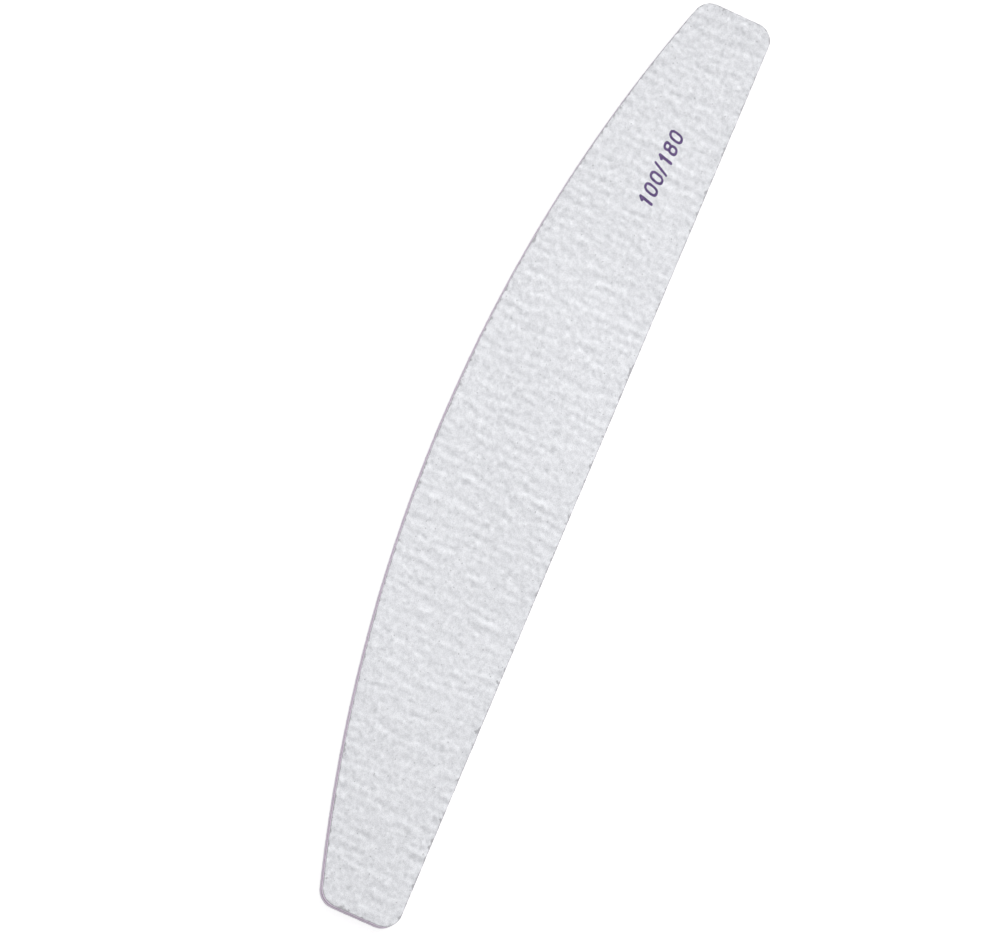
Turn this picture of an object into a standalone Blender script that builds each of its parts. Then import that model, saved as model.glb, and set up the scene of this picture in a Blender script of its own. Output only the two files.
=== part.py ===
"""Half-moon nail file: a die-cut laminated board, straight along one long edge and arched
along the other. A coloured plastic core lies between two foam plies, and coated abrasive
paper covers both faces, coarse grit above and finer grit below.

Metres, +Z up. The board lies flat on its fine face. X runs along it, with the end that
carries the printed numbers at +X, and the arched edge is at +Y. The origin is on the
underside, at the middle of the board's length and width.
"""

import math

import bmesh
import bpy

for old in list(bpy.data.objects):
    bpy.data.objects.remove(old, do_unlink=True)

# Outline that the die cuts through every ply
board_length = 0.178
board_width = 0.0276
end_width = 0.0140
straight_corner_radius = 0.0032
arch_corner_radius = 0.0034

# Thickness of each ply
coarse_grit_thickness = 0.00022
fine_grit_thickness = 0.00014
coarse_paper_thickness = 0.00020
fine_paper_thickness = 0.00020
coarse_adhesive_thickness = 0.00010
fine_adhesive_thickness = 0.00010
upper_foam_thickness = 0.00080
lower_foam_thickness = 0.00080
upper_bond_thickness = 0.00005
lower_bond_thickness = 0.00005
core_thickness = 0.00115

# Fits between plies, and how each cut edge stands to the die line
ply_clearance = 0.00002
grit_arris = 0.00006
foam_waist = 0.00012
adhesive_set_back = 0.00006
bond_set_back = 0.00010

# How finely the outline and the foam's hollow edge are divided
corner_steps = 8
arch_steps = 60
straight_steps = 16
waist_steps = 4

# The arch is one circle through both ends of the chord at end_width and the crown
arch_rise = board_width - end_width
half_length = board_length / 2
arch_radius = (half_length ** 2 + arch_rise ** 2) / (2 * arch_rise)
straight_y = -board_width / 2
arch_centre_y = straight_y + board_width - arch_radius


def arc(centre_x, centre_y, radius, start, end, steps):
    """Points along a circle about a centre, from one angle to the other, both included."""
    angles = [start + (end - start) * step / steps for step in range(steps + 1)]
    return [(centre_x + radius * math.cos(angle), centre_y + radius * math.sin(angle))
            for angle in angles]


def board_outline(inset):
    """The die line moved inwards by inset, anticlockwise from the straight edge's -X end.

    Every arc keeps its centre and loses the inset from its radius, so all the rings of all
    the plies have the same number of points and line up with one another.
    """
    quarter = math.pi / 2
    straight_x = half_length - straight_corner_radius
    straight_corner_y = straight_y + straight_corner_radius
    arch_x = half_length - arch_corner_radius
    centre_gap = arch_radius - arch_corner_radius
    arch_corner_y = arch_centre_y + math.sqrt(centre_gap ** 2 - arch_x ** 2)
    tangent = math.atan2(arch_corner_y - arch_centre_y, arch_x)

    straight_inset = straight_corner_radius - inset
    arch_inset = arch_corner_radius - inset
    points = [(-straight_x + 2 * straight_x * step / straight_steps, straight_y + inset)
              for step in range(straight_steps)]
    points += arc(straight_x, straight_corner_y, straight_inset, -quarter, 0.0, corner_steps)
    points += arc(arch_x, arch_corner_y, arch_inset, 0.0, tangent, corner_steps)
    points += arc(0.0, arch_centre_y, arch_radius - inset, tangent, math.pi - tangent,
                  arch_steps)[1:-1]
    points += arc(-arch_x, arch_corner_y, arch_inset, math.pi - tangent, math.pi, corner_steps)
    points += arc(-straight_x, straight_corner_y, straight_inset, math.pi, 3 * quarter,
                  corner_steps)[:-1]
    return points


def finish(name, colour, roughness):
    """A plain painted-on look for one ply."""
    material = bpy.data.materials.new(name)
    material.use_nodes = True
    shader = material.node_tree.nodes["Principled BSDF"]
    shader.inputs["Base Color"].default_value = (*colour, 1.0)
    shader.inputs["Roughness"].default_value = roughness
    shader.inputs["Metallic"].default_value = 0.0
    return material


def ply(name, edge, material):
    """One closed sheet whose cut edge follows edge, a list of (height, inset) upwards."""
    sheet = bmesh.new()
    rings = [[sheet.verts.new((x, y, height)) for x, y in board_outline(inset)]
             for height, inset in edge]
    sheet.faces.new(reversed(rings[0]))
    sheet.faces.new(rings[-1])
    for below, above in zip(rings, rings[1:]):
        for here in range(len(below)):
            there = (here + 1) % len(below)
            sheet.faces.new((below[here], below[there], above[there], above[here]))
    bmesh.ops.recalc_face_normals(sheet, faces=sheet.faces)
    mesh = bpy.data.meshes.new(name)
    sheet.to_mesh(mesh)
    sheet.free()
    mesh.materials.append(material)
    placed = bpy.data.objects.new(name, mesh)
    bpy.context.collection.objects.link(placed)
    return placed


def square_edge(thickness, inset=0.0):
    """A straight cut, square to the faces."""
    return [(0.0, inset), (thickness, inset)]


def coarse_grit_coat(name, thickness):
    """Coarse grains set in resin; the outer arris, on top, is broken by the die."""
    edge = [(0.0, 0.0), (thickness - grit_arris, 0.0), (thickness, grit_arris)]
    return ply(name, edge, finish(name, (0.70, 0.71, 0.74), 0.85))


def fine_grit_coat(name, thickness):
    """Finer grains set in resin; the outer arris, underneath, is broken by the die."""
    edge = [(0.0, grit_arris), (grit_arris, 0.0), (thickness, 0.0)]
    return ply(name, edge, finish(name, (0.72, 0.73, 0.76), 0.80))


def backing_paper(name, thickness):
    """The tough grey paper that carries the grit."""
    return ply(name, square_edge(thickness), finish(name, (0.42, 0.42, 0.45), 0.9))


def adhesive_film(name, thickness):
    """Double-sided film between paper and foam, which ends just inside the cut."""
    edge = square_edge(thickness, adhesive_set_back)
    return ply(name, edge, finish(name, (0.80, 0.77, 0.80), 0.4))


def foam_ply(name, thickness):
    """Soft pale foam. The die squeezes it, so its cut edge springs back hollow: a sine."""
    shares = [step / waist_steps for step in range(waist_steps + 1)]
    edge = [(thickness * share, foam_waist * math.sin(math.pi * share)) for share in shares]
    return ply(name, edge, finish(name, (0.88, 0.72, 0.87), 0.75))


def bond_film(name, thickness):
    """The glue between foam and core, which ends a little further inside the cut."""
    edge = square_edge(thickness, bond_set_back)
    return ply(name, edge, finish(name, (0.55, 0.30, 0.55), 0.35))


def core_strip(name, thickness):
    """The purple plastic strip that keeps the board straight."""
    return ply(name, square_edge(thickness), finish(name, (0.17, 0.045, 0.19), 0.45))


# From the surface that the board lies on, upwards
lay_up = [
    ("fine_grit_coat", fine_grit_coat, fine_grit_thickness),
    ("fine_backing_paper", backing_paper, fine_paper_thickness),
    ("fine_adhesive_film", adhesive_film, fine_adhesive_thickness),
    ("lower_foam_ply", foam_ply, lower_foam_thickness),
    ("lower_bond_film", bond_film, lower_bond_thickness),
    ("core_strip", core_strip, core_thickness),
    ("upper_bond_film", bond_film, upper_bond_thickness),
    ("upper_foam_ply", foam_ply, upper_foam_thickness),
    ("coarse_adhesive_film", adhesive_film, coarse_adhesive_thickness),
    ("coarse_backing_paper", backing_paper, coarse_paper_thickness),
    ("coarse_grit_coat", coarse_grit_coat, coarse_grit_thickness),
]


def laminate():
    """Lay each ply on the one below it, with the clearance of a glue line between them."""
    height = 0.0
    for name, make, thickness in lay_up:
        placed = make(name, thickness)
        placed.location.z = height
        height += thickness + ply_clearance


laminate()
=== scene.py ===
"""Looks of a half-moon nail file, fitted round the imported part.

The board is a die-cut laminate, and the script follows it as it is put together, from the
middle outwards: plastic core, glue, foam, adhesive, papers, the two grits and the print.
Metres, +Z up. X runs along the board to the printed end, and Y to the arched side.
"""

import math

import bpy
import mathutils
import numpy as np
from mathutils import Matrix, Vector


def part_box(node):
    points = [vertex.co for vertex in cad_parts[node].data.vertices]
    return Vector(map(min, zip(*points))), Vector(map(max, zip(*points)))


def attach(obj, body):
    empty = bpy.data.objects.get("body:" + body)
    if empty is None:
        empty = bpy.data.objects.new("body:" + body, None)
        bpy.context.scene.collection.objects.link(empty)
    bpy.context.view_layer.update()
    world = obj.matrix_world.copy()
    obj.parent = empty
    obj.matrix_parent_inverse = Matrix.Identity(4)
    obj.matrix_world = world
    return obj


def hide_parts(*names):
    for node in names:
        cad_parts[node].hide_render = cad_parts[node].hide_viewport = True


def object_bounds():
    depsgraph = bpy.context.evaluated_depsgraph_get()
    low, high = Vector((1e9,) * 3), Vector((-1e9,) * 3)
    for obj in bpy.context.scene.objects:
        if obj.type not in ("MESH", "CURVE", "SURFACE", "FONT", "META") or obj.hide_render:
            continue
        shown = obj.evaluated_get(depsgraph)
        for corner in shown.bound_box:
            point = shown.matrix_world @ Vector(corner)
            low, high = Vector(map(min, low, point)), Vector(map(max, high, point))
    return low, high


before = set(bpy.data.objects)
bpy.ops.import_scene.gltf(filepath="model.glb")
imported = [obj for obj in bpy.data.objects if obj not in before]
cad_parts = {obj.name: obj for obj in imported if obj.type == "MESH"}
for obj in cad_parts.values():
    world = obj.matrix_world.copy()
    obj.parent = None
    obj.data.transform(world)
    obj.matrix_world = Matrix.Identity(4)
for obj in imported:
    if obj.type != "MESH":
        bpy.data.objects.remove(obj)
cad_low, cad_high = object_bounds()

# The place where the board lies: a plain pale floor, an even white studio round it, a large
# soft lamp at one side and a weak one overhead. The camera stands far off and nearly
# overhead, and looks through a long lens, as the photograph's did.
scene = bpy.context.scene
scene.view_settings.view_transform = "Standard"

camera_place = (-0.23441, 0.11085, 1.03592)
camera_turn_degrees = (9.111, -10.440, -67.087)
camera_lens_mm = 216.0
nearest_seen = 0.01
farthest_seen = 50.0

camera = bpy.data.objects.new("camera", bpy.data.cameras.new("camera"))
camera.location = camera_place
camera.rotation_euler = [math.radians(turn) for turn in camera_turn_degrees]
camera.data.lens = camera_lens_mm
camera.data.clip_start = nearest_seen
camera.data.clip_end = farthest_seen
scene.collection.objects.link(camera)
scene.camera = camera


def put(tree, kind, inputs=None, **settings):
    """Adds a node, with its own settings, and sets or links each of the inputs named."""
    made = tree.nodes.new(kind)
    for name, value in settings.items():
        setattr(made, name, value)
    for socket, value in (inputs or {}).items():
        if isinstance(value, bpy.types.NodeSocket):
            tree.links.new(value, made.inputs[socket])
        else:
            made.inputs[socket].default_value = value
    return made


def calculate(tree, operation, *values):
    """One step of arithmetic on sockets and numbers."""
    return put(tree, "ShaderNodeMath", dict(enumerate(values)), operation=operation).outputs[0]


def between(tree, value, low, high, from_low=0.0, from_high=1.0):
    """A value's range moved to another one, and held inside it."""
    return put(tree, "ShaderNodeMapRange", {
        "Value": value, "From Min": from_low, "From Max": from_high,
        "To Min": low, "To Max": high}).outputs[0]


def seen_directly(tree):
    """1 for the rays that show the surroundings: the camera's, and those of gloss and glass."""
    ray = put(tree, "ShaderNodeLightPath").outputs
    shiny = calculate(tree, "MAXIMUM", ray["Is Glossy Ray"], ray["Is Transmission Ray"])
    return calculate(tree, "MAXIMUM", ray["Is Camera Ray"], shiny)


def matt_grey(tree, grey):
    """Plain matt paint of a neutral grey."""
    return put(tree, "ShaderNodeBsdfDiffuse", {"Color": (grey, grey, grey, 1.0)}).outputs[0]


white = (1.0, 1.0, 1.0, 1.0)
studio_level = 0.625

world = bpy.data.worlds.new("white_studio")
world.use_nodes = True
scene.world = world
studio = world.node_tree
studio.nodes.clear()
# The studio looks white, and lights the board at a plain level.
brightness = between(studio, seen_directly(studio), studio_level, 1.0)
glow = put(studio, "ShaderNodeBackground", {"Color": white, "Strength": brightness})
put(studio, "ShaderNodeOutputWorld", {"Surface": glow.outputs[0]})

floor_half = 4.0
floor_gap = 0.00002
floor_grey = 0.80
washed_grey = 0.40
washed_glow = 0.735
contact_reach = 0.001

floor_level = cad_low.z - floor_gap
floor_corners = [(x * floor_half, y * floor_half, floor_level)
                 for x, y in ((-1, -1), (1, -1), (1, 1), (-1, 1))]
floor_mesh = bpy.data.meshes.new("floor")
floor_mesh.from_pydata(floor_corners, [], [(0, 1, 2, 3)])
floor = bpy.data.objects.new("floor", floor_mesh)
scene.collection.objects.link(floor)

# The floor throws back light as pale grey paint does, and looks nearly white, as an
# overexposed sheet does. It is open from below, and to rays that start on the board's
# underside, so that the underside can be looked at too.
floor_finish = bpy.data.materials.new("pale_floor")
floor_finish.use_nodes = True
tree = floor_finish.node_tree
tree.nodes.clear()
washed_light = put(tree, "ShaderNodeEmission", {"Color": white, "Strength": washed_glow})
washed = put(tree, "ShaderNodeAddShader",
             {0: matt_grey(tree, washed_grey), 1: washed_light.outputs[0]})
shown = put(tree, "ShaderNodeMixShader",
            {0: seen_directly(tree), 1: matt_grey(tree, floor_grey), 2: washed.outputs[0]})
below = put(tree, "ShaderNodeNewGeometry").outputs["Backfacing"]
ray_length = put(tree, "ShaderNodeLightPath").outputs["Ray Length"]
near = calculate(tree, "LESS_THAN", ray_length, contact_reach)
opened = put(tree, "ShaderNodeMixShader", {
    0: calculate(tree, "MAXIMUM", below, near), 1: shown.outputs[0],
    2: put(tree, "ShaderNodeBsdfTransparent").outputs[0]})
put(tree, "ShaderNodeOutputMaterial", {"Surface": opened.outputs[0]})
floor.data.materials.append(floor_finish)

side_lamp_place = (0.85, -0.50, 0.85)
side_lamp_size = 0.45
side_lamp_watts = 3.85
overhead_lamp_x = 0.010
overhead_lamp_height = 0.24
overhead_lamp_size = 0.20
overhead_lamp_watts = 0.240


def soft_lamp(name, place, aim, size, watts):
    """A square lamp that faces aim. The camera looks past it."""
    lamp = bpy.data.objects.new(name, bpy.data.lights.new(name, "AREA"))
    lamp.data.size = size
    lamp.data.energy = watts
    lamp.location = place
    facing = mathutils.Vector(aim) - lamp.location
    lamp.rotation_euler = facing.to_track_quat("-Z", "Y").to_euler()
    lamp.visible_camera = False
    scene.collection.objects.link(lamp)


soft_lamp("side_lamp", side_lamp_place, (0.0, 0.0, 0.0), side_lamp_size, side_lamp_watts)
soft_lamp("overhead_lamp", (overhead_lamp_x, 0.0, overhead_lamp_height),
          (overhead_lamp_x, 0.0, 0.0), overhead_lamp_size, overhead_lamp_watts)

# The core is a strip of dark purple plastic, which keeps the board straight. The die shears
# it with the rest: the upper part of the cut is pressed smooth and paler, and the lower part
# is torn, with fine upright scores.
half_length = cad_high.x
straight_y = cad_low.y
crown_y = cad_high.y
end_width = 0.0140
straight_corner = 0.0032
arch_corner = 0.0034

arch_rise = crown_y - straight_y - end_width
arch_radius = (half_length ** 2 + arch_rise ** 2) / (2 * arch_rise)
arch_centre_y = crown_y - arch_radius
arch_corner_x = half_length - arch_corner
arch_corner_y = arch_centre_y + math.sqrt((arch_radius - arch_corner) ** 2 - arch_corner_x ** 2)
arch_end_x = arch_radius * arch_corner_x / (arch_radius - arch_corner)


def stations(step, corner_steps):
    """Places along X. They are a step apart between the straight side's corners, and round
    each corner they are the radius times the sine of an angle that grows evenly."""
    inner = half_length - straight_corner
    count = round(2 * inner / step)
    angle = np.arange(1, corner_steps + 1) / corner_steps * math.pi / 2
    corner = inner + straight_corner * np.sin(angle)
    return np.concatenate([-corner[::-1], np.linspace(-inner, inner, count + 1), corner])


def die_sides(x):
    """The straight and the arched side at each x, each as y and the outward normal.

    Both are circles where they turn: y is the centre's y, plus or minus the root of the
    radius squared less the distance along X from the centre squared. The normal points
    from the centre, and on the straight stretch it is -Y.
    """
    past = np.maximum(np.abs(x) - (half_length - straight_corner), 0.0)
    down = np.sqrt(np.maximum(straight_corner ** 2 - past ** 2, 0.0))
    straight = straight_y + straight_corner - down
    straight_out = np.stack([np.sign(x) * past, -down], -1) / straight_corner

    on_arch = np.abs(x) < arch_end_x
    centre_x = np.where(on_arch, 0.0, np.sign(x) * arch_corner_x)
    centre_y = np.where(on_arch, arch_centre_y, arch_corner_y)
    radius = np.where(on_arch, arch_radius, arch_corner)
    up = np.sqrt(np.maximum(radius ** 2 - (x - centre_x) ** 2, 0.0))
    arch_out = np.stack([x - centre_x, up], -1) / radius[:, None]
    return straight, straight_out, centre_y + up, arch_out


def die_ring(x, share):
    """Points and outward normals round the whole die line, anticlockwise from above: along
    the straight side, up the +X end at the given shares, back along the arch, down the other."""
    straight, straight_out, arch, arch_out = die_sides(x)
    end_y = straight[-1] + (arch[-1] - straight[-1]) * share[1:-1]
    end = np.stack([np.full_like(end_y, x[-1]), end_y], -1)
    end_out = np.tile([1.0, 0.0], (len(end_y), 1))
    points = np.concatenate([np.stack([x, straight], -1), end,
                             np.stack([x, arch], -1)[::-1], (end * [-1.0, 1.0])[::-1]])
    normals = np.concatenate([straight_out, end_out, arch_out[::-1], -end_out])
    return points, normals


def loft(rings):
    """Quads between successive rings of vertex numbers, each ring closed on itself. They face
    outwards where the rings run anticlockwise and climb."""
    turned = np.roll(rings, -1, axis=1)
    quads = np.stack([rings[:-1], turned[:-1], turned[1:], rings[1:]], -1)
    return quads.reshape(-1, 4)


def lid(ring, count, end_steps):
    """Faces that close one ring, facing up: a quad from the straight side to the arch at each
    step along the board, and one many-sided face at each end."""
    straight = ring[:count]
    right = ring[count:count + end_steps - 1]
    arch = ring[count + end_steps - 1:2 * count + end_steps - 1][::-1]
    left = ring[2 * count + end_steps - 1:]
    quads = np.stack([straight[1:-2], straight[2:-1], arch[2:-1], arch[1:-2]], -1)
    right_end = np.concatenate([straight[-2:], right, arch[-1:], arch[-2:-1]])
    left_end = np.concatenate([straight[:2], arch[1:2], arch[:1], left])
    return [quads, right_end[None], left_end[None]]


sharp_angle = math.radians(50)


def made_piece(name, points, faces, material, slot, replaced=(), **values):
    """One object from points and a list of face arrays, with a number at each point for each
    of the named values, riding on the board in place of the CAD nodes that it stands for."""
    mesh = bpy.data.meshes.new(name)
    corners = np.concatenate([part.ravel() for part in faces]).astype(np.int32)
    sides = np.concatenate([np.full(len(part), part.shape[1]) for part in faces])
    starts = np.concatenate([[0], np.cumsum(sides)[:-1]]).astype(np.int32)
    mesh.vertices.add(len(points))
    mesh.vertices.foreach_set("co", points.astype(np.float32).ravel())
    mesh.loops.add(len(corners))
    mesh.loops.foreach_set("vertex_index", corners)
    mesh.polygons.add(len(sides))
    mesh.polygons.foreach_set("loop_start", starts)
    mesh.update(calc_edges=True)
    for value_name, numbers in values.items():
        kept = mesh.attributes.new(value_name, "FLOAT", "POINT")
        kept.data.foreach_set("value", numbers.astype(np.float32).ravel())
    mesh.shade_smooth()
    mesh.set_sharp_from_angle(angle=sharp_angle)
    mesh.materials.append(material)
    piece = bpy.data.objects.new(name, mesh)
    scene.collection.objects.link(piece)
    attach(piece, "root")
    if replaced:
        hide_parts(*replaced)
    return piece


ply_corner_steps = 40
ply_end_steps = 96


def cut_ply(name, node, step, shares, stands, material, slot):
    """One ply as the die leaves it: the die line at each share of its height, moved out along
    its normal by stands, which gives a row for each height and a column round the ring."""
    low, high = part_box(node)
    x = stations(step, ply_corner_steps)
    ring, outward = die_ring(x, np.linspace(0.0, 1.0, ply_end_steps + 1))
    flat = ring + outward * stands(len(ring))[..., None]
    level = low.z + (high.z - low.z) * shares[:, None, None]
    points = np.concatenate([flat, np.broadcast_to(level, flat[..., :1].shape)], -1)
    numbers = np.arange(flat[..., 0].size).reshape(flat.shape[:2])
    faces = [loft(numbers)] + lid(numbers[-1], len(x), ply_end_steps)
    faces += [part[:, ::-1] for part in lid(numbers[0], len(x), ply_end_steps)]
    return made_piece(name, points.reshape(-1, 3), faces, material, slot, [node])


def running_noise(random, rows, count, reach):
    """Noise round a ring, a row for each height, with deviation 1: white noise averaged over
    reach neighbours with a bell-shaped weight, which closes on itself."""
    turns = np.fft.rfftfreq(count)
    bell = np.exp(-0.5 * (turns * reach * math.pi) ** 2)
    soft = np.fft.irfft(np.fft.rfft(random.standard_normal((rows, count))) * bell, count)
    return soft / soft.std()


def new_group(name, inputs, outputs):
    """A shader node group with its sockets, and its input and output nodes."""
    group = bpy.data.node_groups.new(name, "ShaderNodeTree")
    for socket, kind, value in inputs:
        made = group.interface.new_socket(socket, in_out="INPUT", socket_type=kind)
        if value is not None:
            made.default_value = value
    for socket, kind in outputs:
        group.interface.new_socket(socket, in_out="OUTPUT", socket_type=kind)
    return group, put(group, "NodeGroupInput").outputs, put(group, "NodeGroupOutput").inputs


def pattern(group, kind, given, share=1.0, **inputs):
    """A noise or cells in a group, at a share of the rate per metre that the group is given."""
    rate = calculate(group, "MULTIPLY", given["Per Metre"], share)
    sockets = {"Vector": given["Vector"], "Scale": rate, **inputs}
    return put(group, "ShaderNodeTex" + kind, sockets).outputs


def cut_score_group():
    """Upright scores that a worn die leaves in a cut edge: noise whose Z is drawn out, so
    that it runs as streaks from one face towards the other, broken up by a softer noise."""
    group, given, result = new_group(
        "cut_scores",
        [("Vector", "NodeSocketVector", None), ("Per Metre", "NodeSocketFloat", 5000.0)],
        [("Score", "NodeSocketFloat"), ("Patch", "NodeSocketFloat")])
    upright_stretch = (1.0, 1.0, 0.06)
    drawn = put(group, "ShaderNodeVectorMath", {0: given["Vector"], 1: upright_stretch},
                operation="MULTIPLY").outputs[0]
    streak = pattern(group, "Noise", given, Vector=drawn, Detail=2.0, Roughness=0.6)
    patch = pattern(group, "Noise", given, share=0.12, Detail=3.0)
    group.links.new(streak["Fac"], result["Score"])
    group.links.new(patch["Fac"], result["Patch"])
    return group


def grit_dust_group():
    """Pale dust and crumbs of grit that cling to a cut edge: small cells, shaken out of round
    by a noise, of which only a share is kept, most of them where a wide soft noise is high."""
    group, given, result = new_group(
        "grit_dust",
        [("Vector", "NodeSocketVector", None), ("Per Metre", "NodeSocketFloat", 6000.0),
         ("Amount", "NodeSocketFloat", 0.2)],
        [("Dust", "NodeSocketFloat")])
    shaken_cells = 1.3
    crumb_rim = 0.6
    crumb_middle = 0.3
    shake = pattern(group, "Noise", given, share=1.2, Detail=1.0)
    reach = calculate(group, "DIVIDE", shaken_cells, given["Per Metre"])
    shift = put(group, "ShaderNodeVectorMath", {0: shake["Color"], "Scale": reach},
                operation="SCALE").outputs[0]
    shaken = put(group, "ShaderNodeVectorMath", {0: given["Vector"], 1: shift},
                 operation="ADD").outputs[0]
    crumb = pattern(group, "Voronoi", given, Vector=shaken)
    drift = pattern(group, "Noise", given, share=0.05, Detail=3.0)
    chance = put(group, "ShaderNodeSeparateColor", {0: crumb["Color"]}).outputs[0]
    kept = calculate(group, "LESS_THAN", chance,
                     calculate(group, "MULTIPLY", drift["Fac"], given["Amount"]))
    whole = between(group, crumb["Distance"], 0.0, 1.0, crumb_rim, crumb_middle)
    group.links.new(calculate(group, "MULTIPLY", kept, whole), result["Dust"])
    return group


cut_scores = cut_score_group()
grit_dust = grit_dust_group()
fuzz_tint = (0.90, 0.955, 0.915, 1.0)
fuzz_roughness = 0.5


def new_finish(name):
    """A material, its tree, its shader and the socket that gives places on the object."""
    material = bpy.data.materials.new(name)
    material.use_nodes = True
    tree = material.node_tree
    place = put(tree, "ShaderNodeTexCoord").outputs["Object"]
    return material, tree, tree.nodes["Principled BSDF"], place


def add_fuzz(shader, weight):
    """Fine pale dust and torn fibres on a cut, which stand out from it and hide its colour
    where it is seen almost edge on."""
    shader.inputs["Sheen Weight"].default_value = weight
    shader.inputs["Sheen Roughness"].default_value = fuzz_roughness
    shader.inputs["Sheen Tint"].default_value = fuzz_tint


def use(tree, group, **inputs):
    """Places a node group, with its inputs given by name, _ for a space."""
    named = {socket.replace("_", " "): value for socket, value in inputs.items()}
    return put(tree, "ShaderNodeGroup", named, node_tree=group).outputs


def blended(tree, share, first, second):
    """The first colour where share is 0 and the second where it is 1."""
    mix = put(tree, "ShaderNodeMix", data_type="RGBA")
    for socket, value in (("Factor_Float", share), ("A_Color", first), ("B_Color", second)):
        target = next(made for made in mix.inputs if made.identifier == socket)
        if isinstance(value, bpy.types.NodeSocket):
            tree.links.new(value, target)
        elif isinstance(value, tuple):
            target.default_value = (*value, 1.0)
        else:
            target.default_value = value
    return next(made for made in mix.outputs if made.identifier == "Result_Color")


def raise_surface(tree, shader, height, distance):
    """Turns a height into the shader's normal."""
    bump = put(tree, "ShaderNodeBump", {"Height": height, "Distance": distance})
    tree.links.new(bump.outputs[0], shader.inputs["Normal"])


purple = (0.140, 0.030, 0.155)
pressed_purple = (0.225, 0.085, 0.240)
torn_purple = (0.088, 0.016, 0.100)
crumb_grey = (0.62, 0.61, 0.65)
core_roughness = (0.34, 0.60)
core_fuzz = 0.85
core_bump = 0.00002
core_dust = 0.7
dust_roughness = 0.3
pressed_depth = 0.00046
pressed_fade = 0.00022
pressed_wander = 0.00022
# The part of a noise's range that a tone is stretched from: the narrower, the harder
narrow_noise = (0.35, 0.65)
wide_noise = (0.3, 0.7)

core_finish, tree, shader, place = new_finish("core_plastic")
add_fuzz(shader, core_fuzz)
core_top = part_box("core_strip")[1].z
core_height = put(tree, "ShaderNodeSeparateXYZ", {0: place}).outputs["Z"]
scored = use(tree, cut_scores, Vector=place, Per_Metre=5200.0)
wander = between(tree, scored["Patch"], -pressed_wander, pressed_wander)
pressed = between(tree, calculate(tree, "ADD", core_height, wander), 0.0, 1.0,
                  core_top - pressed_depth, core_top - pressed_depth + pressed_fade)
smooth = between(tree, scored["Score"], 0.0, 1.0, *narrow_noise)
body = blended(tree, smooth, torn_purple, purple)
body = blended(tree, pressed, body, pressed_purple)
dust = use(tree, grit_dust, Vector=place, Per_Metre=15000.0, Amount=0.17)["Dust"]
dust = calculate(tree, "MULTIPLY", dust, core_dust)
tree.links.new(blended(tree, dust, body, crumb_grey), shader.inputs["Base Color"])
bare_roughness = between(tree, scored["Score"], *core_roughness)
dusty = calculate(tree, "MULTIPLY", dust, dust_roughness)
tree.links.new(calculate(tree, "ADD", bare_roughness, dusty), shader.inputs["Roughness"])
raise_surface(tree, shader, calculate(tree, "ADD", scored["Score"], dust), core_bump)

core_step = 0.000085
# Heights of the rings on the cut, as shares of the thickness
core_shares = np.array([0.0, 0.05, 0.16, 0.30, 0.45, 0.60, 0.72, 0.95, 1.0])
core_arris = 0.00003
torn_set_back = 0.000014
torn_from = 0.75
torn_full = 0.15
score_depth = 0.000006
tear_depth = 0.000007
least_rough = 0.25
core_random = np.random.default_rng(11)


def core_stands(count):
    """Smooth above and torn below: scores share one noise over all heights, and tear noise
    grows downwards. Each face has a small arris."""
    share = core_shares[:, None]
    score = running_noise(core_random, 1, count, reach=2.0)
    tear = running_noise(core_random, len(share), count, reach=3.0)
    rough = np.clip((torn_from - share) / (torn_from - torn_full), 0.0, 1.0)
    edge = np.where((share == 0.0) | (share == 1.0), -core_arris, 0.0)
    uneven = (score_depth * score + tear_depth * tear) * (least_rough + rough)
    return edge - torn_set_back * rough + uneven


cut_ply("core_plastic_strip", "core_strip", core_step, core_shares, core_stands, core_finish,
        "core_plastic")

# The glue between core and foam is a thin mauve film that stops just short of the cut. The
# CAD sheet has the right shape, so it stays, with the streaks of the die on its edge.
bond_mauve = (0.40, 0.20, 0.41)
bond_pale = (0.62, 0.38, 0.62)
film_roughness = (0.22, 0.5)
film_bump = 0.00001


def dress_films(finish_name, nodes, first, second, per_metre):
    """One finish for thin sheets that keep their CAD mesh: its tone drifts from the first
    colour to the second, and its cut is streaked, at so many streaks in a metre."""
    finish, tree, shader, place = new_finish(finish_name)
    scored = use(tree, cut_scores, Vector=place, Per_Metre=per_metre)
    tone = between(tree, scored["Patch"], 0.0, 1.0, *wide_noise)
    tree.links.new(blended(tree, tone, first, second), shader.inputs["Base Color"])
    tree.links.new(between(tree, scored["Score"], *film_roughness), shader.inputs["Roughness"])
    raise_surface(tree, shader, scored["Score"], film_bump)
    for name in nodes:
        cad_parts[name].data.materials.clear()
        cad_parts[name].data.materials.append(finish)


dress_films("bond_film", ("lower_bond_film", "upper_bond_film"), bond_mauve, bond_pale,
            per_metre=2600.0)

# Foam plies: soft closed-cell foam, pale pink-lilac. The die squeezes it flat and cuts it,
# and it springs back hollow between the sheets that hold it, with its cut cells open.
foam_pink = (0.910, 0.705, 0.940)
foam_shade = (0.700, 0.460, 0.740)
foam_roughness = (0.9, 0.68)
foam_fuzz = 1.0
foam_bump = 0.00004
foam_dust = 0.6
# Painted shade in the cut cells' pits: the colour factor from the pits' floor to the cell walls
painted_pit_shade = (0.45, 1.0)
patch_tones = (0.80, 1.15)


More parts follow.
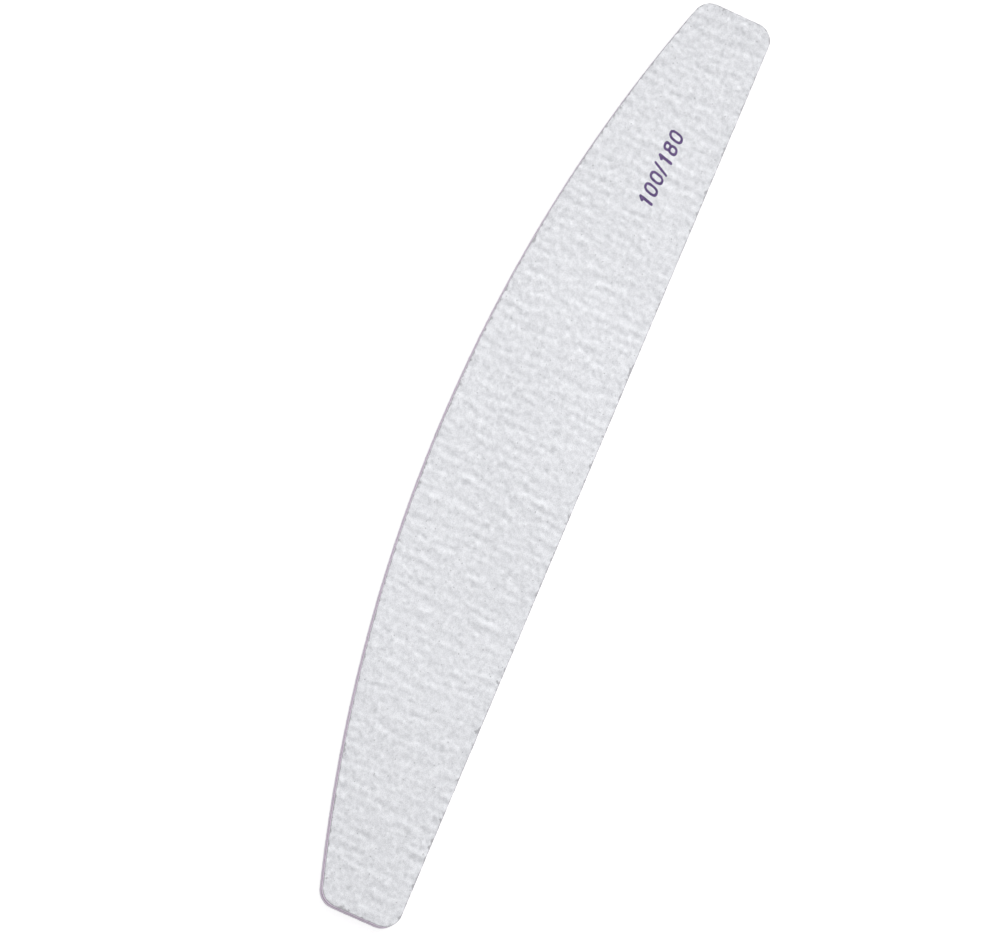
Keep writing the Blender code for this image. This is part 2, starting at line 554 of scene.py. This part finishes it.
def foam_cell_group():
    """Cut foam cells: a pit in the middle of each cell and thin walls between them, in two
    sizes, as one height, with a soft tone that differs from patch to patch."""
    group, given, result = new_group(
        "foam_cells",
        [("Vector", "NodeSocketVector", None), ("Per Metre", "NodeSocketFloat", 6000.0)],
        [("Height", "NodeSocketFloat"), ("Patch", "NodeSocketFloat")])
    small_part = 0.6
    large_part = 0.4
    pit_floor = 0.1
    wall_top = 0.6
    small = pattern(group, "Voronoi", given)["Distance"]
    large = pattern(group, "Voronoi", given, share=0.45)["Distance"]
    both = calculate(group, "ADD", calculate(group, "MULTIPLY", small, small_part),
                     calculate(group, "MULTIPLY", large, large_part))
    patch = pattern(group, "Noise", given, share=0.08, Detail=3.0)
    group.links.new(between(group, both, 0.0, 1.0, pit_floor, wall_top), result["Height"])
    group.links.new(patch["Fac"], result["Patch"])
    return group


foam_cells = foam_cell_group()
foam_finish, tree, shader, place = new_finish("foam")
add_fuzz(shader, foam_fuzz)
cells = use(tree, foam_cells, Vector=place, Per_Metre=6500.0)
# The foam's tone is painted shade, darker where the cell height is low in the pits, times a patch
# tone that differs at random
tone = calculate(tree, "MULTIPLY", between(tree, cells["Height"], *painted_pit_shade),
                 between(tree, cells["Patch"], *patch_tones, *wide_noise))
dust = use(tree, grit_dust, Vector=place, Per_Metre=13000.0, Amount=0.24)["Dust"]
dust = calculate(tree, "MULTIPLY", dust, foam_dust)
tree.links.new(blended(tree, dust, blended(tree, tone, foam_shade, foam_pink), crumb_grey),
               shader.inputs["Base Color"])
tree.links.new(between(tree, cells["Height"], *foam_roughness), shader.inputs["Roughness"])
raise_surface(tree, shader, cells["Height"], foam_bump)

foam_step = 0.00011
foam_shares = np.linspace(0.0, 1.0, 10)
foam_waist = 0.00007
foam_pit = 0.000016
pit_at_faces = 0.3
foam_random = np.random.default_rng(23)


def foam_stands(count):
    """Drawn in by a sine between its two faces, with the pits of cut cells on top."""
    share = foam_shares[:, None]
    pits = running_noise(foam_random, len(share), count, reach=1.6)
    held = np.sin(math.pi * share)
    pit_depth = foam_pit * (pit_at_faces + (1.0 - pit_at_faces) * held)
    return -foam_waist * held - pit_depth * np.abs(pits)


for name, node in (("lower_foam_layer", "lower_foam_ply"), ("upper_foam_layer", "upper_foam_ply")):
    layer = cut_ply(name, node, foam_step, foam_shares, foam_stands, foam_finish, "foam")

# Adhesive films: the clear, slightly cloudy sheets that hold the papers to the foam. The CAD
# sheets have the right shape, so they stay.
film_cloudy = (0.66, 0.62, 0.67)
film_clear = (0.84, 0.81, 0.85)
dress_films("adhesive_film", ("fine_adhesive_film", "coarse_adhesive_film"), film_cloudy,
            film_clear, per_metre=1800.0)

# Backing papers: tough grey paper, filled with resin. The cut shows its fibres as short
# ragged layers, darker than the face.
paper_grey = (0.66, 0.66, 0.69)
paper_dark = (0.48, 0.48, 0.505)
paper_roughness = (0.80, 0.95)
paper_fuzz = 0.7
paper_bump = 0.00002
thin_layers = (1.0, 1.0, 6.0)

paper_finish, tree, shader, place = new_finish("backing_paper")
add_fuzz(shader, paper_fuzz)
layered = put(tree, "ShaderNodeVectorMath", {0: place, 1: thin_layers}, operation="MULTIPLY")
fibre = put(tree, "ShaderNodeTexNoise", {"Vector": layered.outputs[0], "Scale": 3800.0,
                                         "Detail": 4.0, "Roughness": 0.65}).outputs["Fac"]
scored = use(tree, cut_scores, Vector=place, Per_Metre=3000.0)
paper = blended(tree, between(tree, fibre, 0.0, 1.0, *narrow_noise), paper_dark, paper_grey)
dust = use(tree, grit_dust, Vector=place, Per_Metre=11000.0, Amount=0.4)["Dust"]
tree.links.new(blended(tree, dust, paper, crumb_grey), shader.inputs["Base Color"])
tree.links.new(between(tree, scored["Patch"], *paper_roughness), shader.inputs["Roughness"])
raise_surface(tree, shader, calculate(tree, "ADD", fibre, scored["Score"]), paper_bump)

paper_step = 0.00013
paper_shares = np.linspace(0.0, 1.0, 5)
paper_set_back = 0.000012
fibre_depth = 0.000007
wave_depth = 0.000006
paper_random = np.random.default_rng(37)


def paper_stands(count):
    """Ragged by the fibres: each layer has its own noise, on a wave that all of them share."""
    fibres = running_noise(paper_random, len(paper_shares), count, reach=1.6)
    wave = running_noise(paper_random, 1, count, reach=6.0)
    return -paper_set_back + fibre_depth * fibres + wave_depth * wave


for name, node in (("fine_backing_sheet", "fine_backing_paper"),
                   ("coarse_backing_sheet", "coarse_backing_paper")):
    cut_ply(name, node, paper_step, paper_shares, paper_stands, paper_finish, "backing_paper")

# The grits: grains of abrasive set in resin, under a pale powdery coat that stops dust from
# clogging them. The coat dries in short ripples across the board, pale where it is thick and
# greyer where it is thin, and a few grains stand bare. At the cut it has chipped off the paper.
lattice = 0.0001
lattice_margin = 10
lattice_shape = (round(2 * half_length / lattice) + 2 * lattice_margin,
                 round((crown_y - straight_y) / lattice) + 2 * lattice_margin)


def shaped_noise(random, weight):
    """Noise on a lattice under the board, with deviation 1: white noise, each of whose waves
    is multiplied by weight, a function of its waves per metre along and across."""
    along = np.fft.fftfreq(lattice_shape[0], lattice)[:, None]
    across = np.fft.rfftfreq(lattice_shape[1], lattice)[None]
    waves = np.fft.rfft2(random.standard_normal(lattice_shape)) * weight(along, across)
    made = np.fft.irfft2(waves, lattice_shape)
    return made / made.std()


def at_points(field, x, y):
    """The lattice's value at any place: the four nearest, weighted by how near they are."""
    across = (x + half_length) / lattice + lattice_margin
    up = (y - straight_y) / lattice + lattice_margin
    left = np.clip(np.floor(across).astype(int), 0, field.shape[0] - 2)
    under = np.clip(np.floor(up).astype(int), 0, field.shape[1] - 2)
    to_right = np.clip(across - left, 0.0, 1.0)
    to_top = np.clip(up - under, 0.0, 1.0)
    left_value = field[left, under] * (1 - to_top) + field[left, under + 1] * to_top
    right_value = field[left + 1, under] * (1 - to_top) + field[left + 1, under + 1] * to_top
    return left_value * (1 - to_right) + right_value * to_right


def ripple_weight(rate, spread, reach_across, turn):
    """Waves near one rate along the board that are long across it, turned a little: a bell
    round the rate along the turned direction, times a bell round nought across it."""
    def weight(along, across):
        onward = along * math.cos(turn) - across * math.sin(turn)
        sideways = along * math.sin(turn) + across * math.cos(turn)
        return np.exp(-0.5 * ((np.abs(onward) - rate) / spread) ** 2
                      - 0.5 * (sideways / reach_across) ** 2)
    return weight


def mottle_weight(rate, spread, fewest=1e-6):
    """Waves near one rate, alike both ways, and hardly any with a rate below the fewest: a
    bell round the rate, times 1 less a bell round nought."""
    def weight(along, across):
        waves = np.hypot(along, across)
        long_waves = np.exp(-0.5 * (waves / fewest) ** 2)
        return np.exp(-0.5 * ((waves - rate) / spread) ** 2) * (1.0 - long_waves)
    return weight


def grit_group():
    """Grains seen from above: domed cells of two sizes, each with its own tone, and a finer
    noise over them. A share of the cells is bare, without the pale coat, and so is a smaller
    share of the cells of a wider pattern, where grains stand together."""
    group, given, result = new_group(
        "grit_grains",
        [("Vector", "NodeSocketVector", None), ("Per Metre", "NodeSocketFloat", 5000.0),
         ("Bare Share", "NodeSocketFloat", 0.02)],
        [("Tone", "NodeSocketFloat"), ("Bare", "NodeSocketFloat"), ("Height", "NodeSocketFloat")])
    dome_reach = 0.75
    grain_part = 0.5
    small_part = 0.35
    fine_part = 0.3
    bare_middle = 0.12
    bare_rim = 0.5
    wide_bare = 0.8

    def dome(grain):
        """1 in a grain's middle, and smoothly down to 0 at its rim."""
        return put(group, "ShaderNodeMapRange", {
            "Value": grain["Distance"], "From Min": 0.0, "From Max": dome_reach, "To Min": 1.0,
            "To Max": 0.0}, interpolation_type="SMOOTHSTEP").outputs[0]

    def bare(grain, share):
        """1 in the middle of a share of the grains, drawn by their colours, and 0 elsewhere."""
        drawn = put(group, "ShaderNodeSeparateColor", {0: grain["Color"]}).outputs[1]
        chosen = calculate(group, "LESS_THAN", drawn, share)
        return calculate(group, "MULTIPLY", chosen,
                         between(group, grain["Distance"], 1.0, 0.0, bare_middle, bare_rim))

    grain = pattern(group, "Voronoi", given)
    small = pattern(group, "Voronoi", given, share=1.9)
    wide = pattern(group, "Voronoi", given, share=0.55)
    fine = pattern(group, "Noise", given, share=3.0, Detail=2.0)
    height = calculate(group, "ADD", calculate(group, "MULTIPLY", dome(grain), grain_part),
                       calculate(group, "MULTIPLY", dome(small), small_part))
    height = calculate(group, "ADD", height, calculate(group, "MULTIPLY", fine["Fac"], fine_part))
    tone = put(group, "ShaderNodeSeparateColor", {0: grain["Color"]}).outputs[0]
    fewer = calculate(group, "MULTIPLY", given["Bare Share"], wide_bare)
    group.links.new(tone, result["Tone"])
    group.links.new(calculate(group, "MAXIMUM", bare(grain, given["Bare Share"]), bare(wide, fewer)),
                    result["Bare"])
    group.links.new(height, result["Height"])
    return group


grit_grains = grit_group()
coat_pale = (0.902, 0.910, 0.944)
coat_thin = (0.578, 0.585, 0.613)
bare_grain = (0.230, 0.230, 0.245)
chipped_grey = (0.420, 0.420, 0.440)
grit_roughness = (0.88, 0.35)
# Deviations of the coat's thickness from the middle tone to the thin one and the pale one
coat_spread = 3.05
grain_tone = 0.14
drift_tone = 0.05
drift_rate = 55.0
# Painted shade between the grains: the colour is scaled from the first factor to the second as the
# grains' height goes over these heights
painted_hollow_shade = (0.87, 1.055)
painted_shade_heights = (0.15, 0.65)
bare_cover = 0.75
frayed_by = 0.25
frayed_range = (0.15, 0.75)


def grit_finish(name, per_metre, bare_share, bump):
    """The finish of one grit: the coat's tone follows the thickness kept on the mesh, then
    each grain's own tone, then painted shade where the grains' height is low between them,
    then the bare grains, which are darker and shinier. Where the coat is worn off at the cut,
    the paper's grey shows."""
    material, tree, shader, place = new_finish(name)
    coat = put(tree, "ShaderNodeAttribute", attribute_name="coat").outputs["Fac"]
    worn = put(tree, "ShaderNodeAttribute", attribute_name="worn").outputs["Fac"]
    grains = use(tree, grit_grains, Vector=place, Per_Metre=per_metre, Bare_Share=bare_share)
    drift = put(tree, "ShaderNodeTexNoise", {"Vector": place, "Scale": drift_rate, "Detail": 2.0})
    thickness = calculate(tree, "ADD", between(tree, coat, 0.0, 1.0, -coat_spread, coat_spread),
                          between(tree, grains["Tone"], -grain_tone, grain_tone))
    thickness = calculate(tree, "ADD", thickness, between(
        tree, drift.outputs["Fac"], -drift_tone, drift_tone, *wide_noise))
    colour = blended(tree, thickness, coat_thin, coat_pale)
    # Painted shade: the colour is multiplied down where the grains' height is low, in the hollows
    # between and round them
    hollow = between(tree, grains["Height"], *painted_hollow_shade, *painted_shade_heights)
    colour = put(tree, "ShaderNodeVectorMath", {0: colour, "Scale": hollow},
                 operation="SCALE").outputs[0]
    bare = calculate(tree, "MULTIPLY", grains["Bare"], bare_cover)
    colour = blended(tree, bare, colour, bare_grain)
    frayed = calculate(tree, "ADD", worn, between(tree, grains["Tone"], -frayed_by, frayed_by))
    chipped = between(tree, frayed, 0.0, 1.0, *frayed_range)
    tree.links.new(blended(tree, chipped, colour, chipped_grey), shader.inputs["Base Color"])
    tree.links.new(between(tree, grains["Bare"], *grit_roughness), shader.inputs["Roughness"])
    raise_surface(tree, shader, grains["Height"], bump)
    return material


grit_step = 0.00021
grit_corner_steps = 22
grit_across_steps = 104
# The first steps in from either long side, as shares of a full one
rim_steps = np.array([0.28, 0.42, 0.62, 0.82])
arris_reach = 0.00030
# The usual width of the worn rim, the deviation of its logarithm, and its fully worn share
wear_width = 0.00010
wear_spread = 0.90
fully_worn = 0.2
worn_depth = 0.35
wall_wear = 0.30
# Each lower row of the wall: its part of the height, and its part of the raggedness
wall_rows = ((0.0, 0.4), (0.5, 1.0))


def grit_coat(name, node, slot, material, coat, relief, face_up, top, deepest, arris, ragged):
    """One grit with its face as a grid: x at stations along the board, y a share of the way
    from the straight side to the arched one. z is the coat's level plus the relief there less
    its top, held between the deepest hollow and nought. Towards the die line it falls by the
    arris and, where the coat is worn off, by a share of the deepest hollow. The wall and the
    flat back close it. Gives the grid's x, share, y and z."""
    low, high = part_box(node)
    back, front, up = (low.z, high.z, 1.0) if face_up else (high.z, low.z, -1.0)
    x = stations(grit_step, grit_corner_steps)
    straight, straight_out, arch, arch_out = die_sides(x)
    steps = np.ones(grit_across_steps)
    steps[:len(rim_steps)] = rim_steps
    steps[-len(rim_steps):] = rim_steps[::-1]
    share = np.concatenate([[0.0], np.cumsum(steps)]) / steps.sum()
    y = straight[:, None] + (arch - straight)[:, None] * share
    grid_x = np.broadcast_to(x[:, None], y.shape)
    rim = np.minimum.reduce([(straight[:, None] - y) * straight_out[:, None, 1],
                             (arch[:, None] - y) * arch_out[:, None, 1],
                             half_length - np.abs(grid_x)])
    wear_reach = wear_width * np.exp(wear_spread * at_points(rim_wear, grid_x, y))
    worn = np.clip(1.0 + fully_worn - rim / wear_reach, 0.0, 1.0)
    fall = arris * np.clip(1.0 - rim / arris_reach, 0.0, 1.0) ** 2
    height = np.clip(at_points(relief, grid_x, y) - top, -deepest, 0.0)
    z = front + up * (height - fall - worn * worn_depth * deepest)

    numbers = np.arange(z.size).reshape(z.shape)
    top_ring = np.concatenate([numbers[:, 0], numbers[-1, 1:-1], numbers[::-1, -1],
                               numbers[0, -2:0:-1]])
    ring, outward = die_ring(x, share)
    face = np.stack([grid_x, y, z], -1).reshape(-1, 3)
    edge = running_noise(grit_random, len(wall_rows) + 1, len(ring), reach=1.5) * ragged
    face[top_ring, :2] = ring + outward * (edge[-1] - ragged)[:, None]
    rows = []
    for stand, (part, swing) in zip(edge, wall_rows):
        flat = ring + outward * stand[:, None] * swing
        level = np.full((len(ring), 1), back + (front - back) * part)
        rows.append(np.concatenate([flat, level], -1))
    points = np.concatenate([face, *rows])
    wall = z.size + np.arange(len(wall_rows) * len(ring)).reshape(len(wall_rows), -1)
    grid = np.stack([numbers[:-1, :-1], numbers[1:, :-1], numbers[1:, 1:], numbers[:-1, 1:]], -1)
    faces = [grid.reshape(-1, 4), loft(np.concatenate([wall, top_ring[None]]))]
    faces += [part[:, ::-1] for part in lid(wall[0], len(x), grit_across_steps)]
    if not face_up:
        faces = [part[:, ::-1] for part in faces]
    tone = at_points(coat, points[:, 0], points[:, 1])
    worn = np.concatenate([worn.ravel(), np.full(wall.size, wall_wear)])
    made_piece(name, points, faces, material, slot, [node], coat=tone, worn=worn)
    return x, share, y, z


def grit_surface(ripples, mottles, coat_height, grain_height, ripple_share, grain_spread):
    """The coat's thickness, with deviation 1, from ripples and mottles of the given weights,
    and the relief that the coat and the grains under it make together."""
    coat = (math.sqrt(ripple_share) * shaped_noise(grit_random, ripples)
            + math.sqrt(1.0 - ripple_share) * shaped_noise(grit_random, mottles))
    grain = shaped_noise(grit_random, mottle_weight(0.0, grain_spread))
    return coat, coat_height * coat + grain_height * grain


coarse_grains_per_metre = 5400.0
coarse_bare_share = 0.012
coarse_bump = 0.000060
coarse_coat_height = 0.000015
coarse_grain_height = 0.000009
coarse_top = 0.00006
coarse_deepest = 0.00014
coarse_arris = 0.00005
coarse_ragged = 0.000018
rim_wear_spread = 700.0

grit_random = np.random.default_rng(100)
coarse_coat, coarse_relief = grit_surface(
    ripple_weight(rate=432.0, spread=181.0, reach_across=118.0, turn=0.03),
    mottle_weight(rate=292.0, spread=670.0, fewest=110.0),
    coarse_coat_height, coarse_grain_height, ripple_share=0.42, grain_spread=2100.0)
rim_wear = shaped_noise(grit_random, mottle_weight(0.0, rim_wear_spread))
coarse_finish = grit_finish("coarse_grit", coarse_grains_per_metre, coarse_bare_share, coarse_bump)
coarse_grid = grit_coat(
    "coarse_grit_face", "coarse_grit_coat", "coarse_grit", coarse_finish, coarse_coat,
    coarse_relief, face_up=True, top=coarse_top, deepest=coarse_deepest, arris=coarse_arris,
    ragged=coarse_ragged)

fine_grains_per_metre = 9200.0
fine_bare_share = 0.008
fine_bump = 0.000034
fine_coat_height = 0.000009
fine_grain_height = 0.000005
fine_top = 0.000035
fine_deepest = 0.00008
fine_arris = 0.00004
fine_ragged = 0.000014

fine_coat, fine_relief = grit_surface(
    ripple_weight(rate=520.0, spread=200.0, reach_across=200.0, turn=-0.05),
    mottle_weight(rate=420.0, spread=900.0, fewest=130.0),
    fine_coat_height, fine_grain_height, ripple_share=0.25, grain_spread=3000.0)
fine_finish = grit_finish("fine_grit", fine_grains_per_metre, fine_bare_share, fine_bump)
grit_coat("fine_grit_face", "fine_grit_coat", "fine_grit", fine_finish, fine_coat, fine_relief,
          face_up=False, top=fine_top, deepest=fine_deepest, arris=fine_arris,
          ragged=fine_ragged)

# The printed grit numbers: a thin film of dark violet-blue ink, pressed onto the coarse face
# with a rubber pad, so that it lies over the coat's ripples and is thin where grains stand out.
# The numbers lean, and run along the board near the straight side.
printed_text = "100/180"
ink_centre = (0.05663, -0.00442)
ink_climb = math.radians(-2.4)
ink_lean = math.tan(math.radians(12.3))
digit_cell = 0.00239
slash_cell = 0.00126
digit_top = 0.00119
ink_half_width = 0.000248
loop_squareness = 2.5
zero_half_width = 0.00070
# Each loop of the 8: the height of its centre, its half width and its half height
eight_loops = ((0.00067, 0.00059, 0.00054), (-0.00053, 0.00066, 0.00067))
one_stem_x = 0.00021
one_flag_x = -0.00023
one_flag_drop = 0.00048
one_extra = 0.00004
slash_half_width = 0.00034
slash_extra = 0.00014


def loop_distance(x, y, centre_y, half_width, half_height):
    """How far a place is from an upright loop, nearly. The loop is a squarish ellipse: x and
    y are taken as shares of its half width and half height and raised to a power, and their
    sum's root of that order is the measure. The distance is that measure less 1, divided by
    how fast it grows there."""
    power = loop_squareness
    wide = np.abs(x) / half_width
    tall = np.abs(y - centre_y) / half_height
    measure = np.maximum((wide ** power + tall ** power) ** (1.0 / power), 1e-6)
    growth = np.hypot((wide / measure) ** (power - 1.0) / half_width,
                      (tall / measure) ** (power - 1.0) / half_height)
    return np.abs(measure - 1.0) / np.maximum(growth, 1.0)


def line_distance(x, y, start, end):
    """How far a place is from a straight line between two points."""
    along = np.array(end) - np.array(start)
    share = ((x - start[0]) * along[0] + (y - start[1]) * along[1]) / (along ** 2).sum()
    share = np.clip(share, 0.0, 1.0)
    return np.hypot(x - start[0] - share * along[0], y - start[1] - share * along[1])


def sign_distance(sign, x, y):
    """How far a place is from the middle of one sign's strokes, before it leans. The 1 is
    printed a little heavier than the others."""
    if sign == "0":
        return loop_distance(x, y, 0.0, zero_half_width, digit_top)
    if sign == "8":
        return np.minimum.reduce([loop_distance(x, y, *loop) for loop in eight_loops])
    if sign == "1":
        stem_top = (one_stem_x, digit_top)
        stem = line_distance(x, y, (one_stem_x, -digit_top), stem_top)
        flag = line_distance(x, y, stem_top, (one_flag_x, digit_top - one_flag_drop))
        return np.minimum(stem, flag) - one_extra
    slash_top = digit_top + slash_extra
    return line_distance(x, y, (-slash_half_width, -slash_top), (slash_half_width, slash_top))


def ink_distance(x, y):
    """How far a place on the board is from the middle of the nearest stroke."""
    cells = [slash_cell if sign == "/" else digit_cell for sign in printed_text]
    along_x = (x - ink_centre[0]) * math.cos(ink_climb) + (y - ink_centre[1]) * math.sin(ink_climb)
    up_y = (y - ink_centre[1]) * math.cos(ink_climb) - (x - ink_centre[0]) * math.sin(ink_climb)
    upright_x = along_x - ink_lean * up_y
    nearest = math.inf
    start = -sum(cells) / 2
    for sign, cell in zip(printed_text, cells):
        nearest = np.minimum(nearest, sign_distance(sign, upright_x - start - cell / 2, up_y))
        start += cell
    return nearest


def face_level(grid, x, y):
    """The height of a grit's face at any place, from the four points of its grid round it."""
    grid_x, share, grid_y, grid_z = grid
    left = np.clip(np.searchsorted(grid_x, x) - 1, 0, len(grid_x) - 2)
    right = left + 1
    to_right = (x - grid_x[left]) / (grid_x[right] - grid_x[left])
    straight = grid_y[left, 0] * (1 - to_right) + grid_y[right, 0] * to_right
    arch = grid_y[left, -1] * (1 - to_right) + grid_y[right, -1] * to_right
    part = (y - straight) / (arch - straight)
    under = np.clip(np.searchsorted(share, part) - 1, 0, len(share) - 2)
    over = under + 1
    to_top = (part - share[under]) / (share[over] - share[under])
    low_side = grid_z[left, under] * (1 - to_right) + grid_z[right, under] * to_right
    high_side = grid_z[left, over] * (1 - to_right) + grid_z[right, over] * to_right
    return low_side * (1 - to_top) + high_side * to_top


ink_dark = (0.045, 0.019, 0.102)
ink_thin = (0.142, 0.076, 0.234)
ink_on_bare = (0.26, 0.21, 0.34)
ink_roughness = (0.48, 0.68)
ink_bump = 0.000030
thin_range = (0.35, 0.75)
grain_thinning = 0.2

ink_finish, tree, shader, place = new_finish("printed_ink")
grains = use(tree, grit_grains, Vector=place, Per_Metre=coarse_grains_per_metre, Bare_Share=0.03)
cover = put(tree, "ShaderNodeTexNoise", {"Vector": place, "Scale": 2600.0, "Detail": 3.0})
thin = calculate(tree, "ADD", between(tree, cover.outputs["Fac"], 0.0, 1.0, *thin_range),
                 between(tree, grains["Tone"], -grain_thinning, grain_thinning))
ink = blended(tree, grains["Bare"], blended(tree, thin, ink_dark, ink_thin), ink_on_bare)
tree.links.new(ink, shader.inputs["Base Color"])
tree.links.new(between(tree, grains["Tone"], *ink_roughness), shader.inputs["Roughness"])
raise_surface(tree, shader, grains["Height"], ink_bump)

ink_half_size = (0.0082, 0.0024)
ink_lattice = 0.00004
ink_above = 0.000014
ink_rim_share = 0.5
ink_depth = 0.000030
ink_edge_noise = 0.06
ink_noise_spread = 1500.0
farthest_move = 0.7
least_steep = 0.25


def printed_numbers():
    """The film's plan is every cell of a fine lattice whose middle is within half a stroke of
    a stroke's middle, give or take a soft noise. Its outer points are then moved down or up
    the slope of that distance onto the line itself. It lies just above the coat, half as
    thick at its rim, and its back follows the coat a little way inside it."""
    x_count, y_count = (round(2 * side / ink_lattice) for side in ink_half_size)
    x = ink_centre[0] + (np.arange(x_count + 1) - x_count / 2) * ink_lattice
    y = ink_centre[1] + (np.arange(y_count + 1) - y_count / 2) * ink_lattice
    grid_x, grid_y = np.meshgrid(x, y, indexing="ij")
    soft = shaped_noise(np.random.default_rng(7), mottle_weight(0.0, ink_noise_spread))

    def inside(place_x, place_y):
        """How far inside the film's outline a place is, and below 0 outside it."""
        edge_noise = ink_edge_noise * at_points(soft, place_x, place_y)
        return ink_half_width * (1.0 + edge_noise) - ink_distance(place_x, place_y)

    kept = inside(grid_x[:-1, :-1] + ink_lattice / 2, grid_y[:-1, :-1] + ink_lattice / 2) > 0.0
    touching = np.zeros(grid_x.shape, int)
    for right in (0, 1):
        for up in (0, 1):
            touching[right:right + x_count, up:up + y_count] += kept
    outer = (touching > 0) & (touching < 4)
    nudge = ink_lattice / 4
    slope_x = (inside(grid_x + nudge, grid_y) - inside(grid_x - nudge, grid_y)) / (2 * nudge)
    slope_y = (inside(grid_x, grid_y + nudge) - inside(grid_x, grid_y - nudge)) / (2 * nudge)
    steep = np.maximum(slope_x ** 2 + slope_y ** 2, least_steep)
    farthest = farthest_move * ink_lattice
    move = np.where(outer, np.clip(inside(grid_x, grid_y), -farthest, farthest) / steep, 0.0)
    flat_x = grid_x - move * slope_x
    flat_y = grid_y - move * slope_y
    level = face_level(coarse_grid, flat_x, flat_y)
    raised = level + np.where(outer, ink_rim_share, 1.0) * ink_above

    numbers = np.full(grid_x.shape, -1)
    used = touching > 0
    numbers[used] = np.arange(used.sum())
    above = np.stack([flat_x, flat_y, raised], -1)[used]
    under = np.stack([flat_x, flat_y, level - ink_depth], -1)[used]
    left, low = np.nonzero(kept)
    top = np.stack([numbers[left, low], numbers[left + 1, low], numbers[left + 1, low + 1],
                    numbers[left, low + 1]], -1)
    bottom = top[:, ::-1] + len(above)
    bordered = np.pad(kept, 1)
    walls = []
    for side, (right, up) in enumerate(((0, -1), (1, 0), (0, 1), (-1, 0))):
        open_side = ~bordered[left + 1 + right, low + 1 + up]
        first = top[open_side, side]
        second = top[open_side, (side + 1) % 4]
        walls.append(np.stack([first + len(above), second + len(above), second, first], -1))
    made_piece("printed_grit_numbers", np.concatenate([above, under]), [top, bottom, *walls],
               ink_finish, "printed_ink")


printed_numbers()
